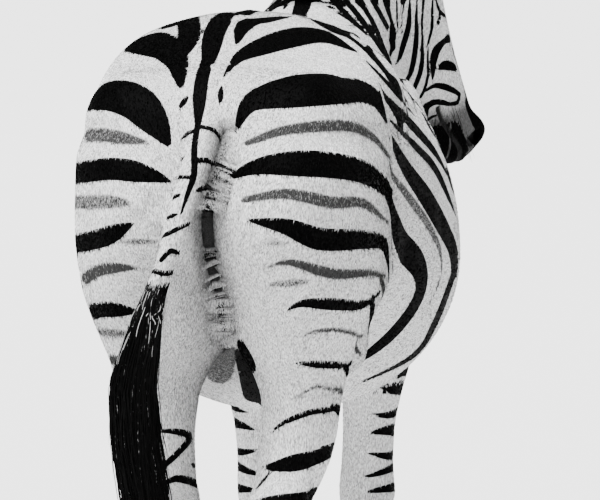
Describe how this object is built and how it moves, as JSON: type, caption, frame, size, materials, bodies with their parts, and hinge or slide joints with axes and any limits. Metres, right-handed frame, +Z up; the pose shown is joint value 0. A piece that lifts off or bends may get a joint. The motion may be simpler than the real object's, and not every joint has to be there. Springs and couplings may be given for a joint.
{
  "type": "zebra",
  "caption": "Life-size still model of a plains zebra standing square, seen from behind, its neck turned to look down past its right shoulder.",
  "frame": {"origin": "on the ground, under the middle of the animal's box", "axes": "+Z up; the animal faces -Y, so its right side is towards -X and its tail towards +Y"},
  "size_m": [0.6166, 1.6264, 1.6535],
  "materials": {
    "coat": "short flat coat over skin, pale with near-black stripes and grey shadow stripes",
    "long_hair": "coarse long hair, near black with pale strands",
    "hoof": "dark horn with growth rings, satin",
    "eye": "wet, very dark brown"
  },
  "bodies": {
    "root": {"trunk": "coat", "neck": "coat", "head": "coat", "ear_left": "coat", "ear_right": "coat", "eye_left": "eye", "eye_right": "eye", "mane": "long_hair", "tail_dock": "coat", "tail_tuft": "long_hair", "foreleg_left": "coat", "foreleg_right": "coat", "hindleg_left": "coat", "hindleg_right": "coat", "hoof_fore_left": "hoof", "hoof_fore_right": "hoof", "hoof_hind_left": "hoof", "hoof_hind_right": "hoof"}
  },
  "joints": []
}
